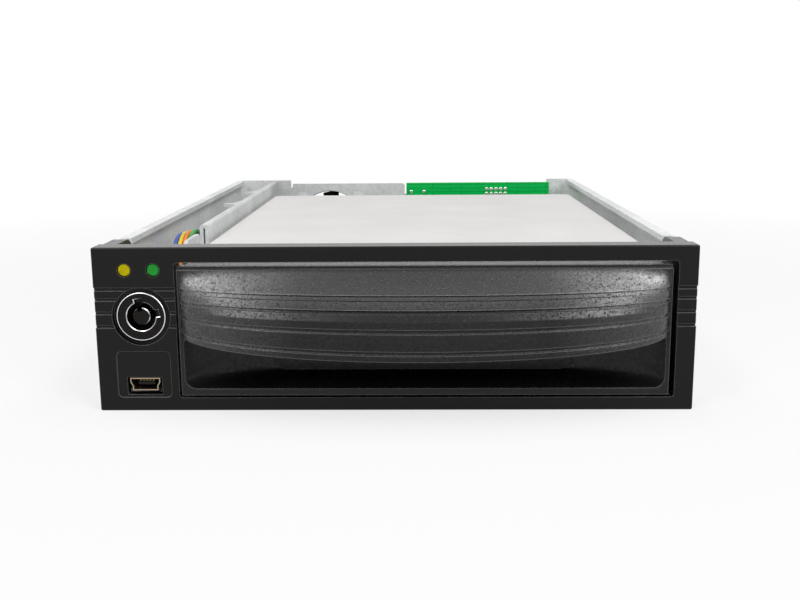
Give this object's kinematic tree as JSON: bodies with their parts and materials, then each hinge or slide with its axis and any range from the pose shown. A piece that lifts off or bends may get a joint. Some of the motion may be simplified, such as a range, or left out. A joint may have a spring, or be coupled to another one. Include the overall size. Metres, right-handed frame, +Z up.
{
  "type": "hot swap drive cage",
  "caption": "Open-topped metal cage for a half-height bay with a black bezel, key lock and indicator lights, and a pull-out drive carrier with a ribbed hood handle and lift-off cover.",
  "frame": {"origin": "centre of the bounding box at the base plane, where the cage stands", "axes": "+X to the right as seen from the front, +Y from the bezel back into the bay, +Z up"},
  "size_m": [0.148, 0.2192, 0.0414],
  "materials": {
    "sheet_metal": "bare mill-finish sheet",
    "cover_metal": "pale satin sheet",
    "bezel_plastic": "black moulding, fine grain",
    "carrier_plastic": "black moulding, semi-gloss",
    "runner_plastic": "black acetal",
    "fan_plastic": "black moulding",
    "connector_plastic": "black moulding",
    "header_plastic": "off-white nylon",
    "lock_black": "black enamel",
    "led_yellow": "tinted diffused resin",
    "led_green": "tinted diffused resin",
    "board_green": "green solder mask",
    "plated_steel": "bright plated",
    "steel": "zinc plated",
    "brass": "turned",
    "gold": "gold plated",
    "solder": "tinned",
    "wire_yellow": "insulation",
    "wire_green": "insulation",
    "wire_orange": "insulation",
    "wire_blue": "insulation"
  },
  "bodies": {
    "frame": {"chassis": "sheet_metal", "left_guide_rail": "sheet_metal", "rail_rivets": "steel", "left_runner": "runner_plastic", "right_runner": "runner_plastic", "front_bezel": "bezel_plastic", "led_yellow": "led_yellow", "led_green": "led_green", "usb_shell": "plated_steel", "usb_tongue": "connector_plastic", "usb_contacts": "gold", "front_board": "board_green", "front_board_screws": "steel", "front_header": "header_plastic", "lock_housing": "plated_steel", "lock_face": "lock_black", "lock_nut": "steel", "wire_yellow": "wire_yellow", "wire_green": "wire_green", "wire_orange": "wire_orange", "wire_blue": "wire_blue", "backplane_board": "board_green", "solder_pads": "solder", "backplane_standoffs": "brass", "backplane_screws": "steel", "dock_receptacle": "connector_plastic", "power_connector": "connector_plastic", "data_connector": "connector_plastic", "rear_header": "connector_plastic", "rear_plug": "header_plastic", "fan_housing": "fan_plastic", "fan_screws": "steel"},
    "carrier": {"carrier_front": "carrier_plastic", "carrier_tray": "sheet_metal", "carrier_screws": "steel", "carrier_board": "board_green", "carrier_board_standoffs": "brass", "carrier_board_screws": "steel", "drive_connector": "connector_plastic", "dock_plug": "connector_plastic", "dock_contacts": "gold"},
    "cover": {"carrier_cover": "cover_metal"},
    "lock": {"lock_plug": "plated_steel", "lock_cam": "steel", "cam_nut": "steel"},
    "fan": {"fan_rotor": "fan_plastic"}
  },
  "joints": [
    {"name": "carrier_slide", "type": "slide", "parent": "frame", "child": "carrier", "axis": [0, -1, 0], "range_m": [0, 0.175]},
    {"name": "cover_lift", "type": "slide", "parent": "carrier", "child": "cover", "axis": [0, 0, 1], "range_m": [0, 0.04]},
    {"name": "lock_turn", "type": "hinge", "parent": "frame", "child": "lock", "pos_m": [-0.0625, -0.07637, 0.02415], "axis": [0, 1, 0], "range_deg": [0, 90]},
    {"name": "fan_spin", "type": "hinge", "parent": "frame", "child": "fan", "pos_m": [-0.0319, 0.10362, 0.0225], "axis": [0, 1, 0], "continuous": true}
  ]
}
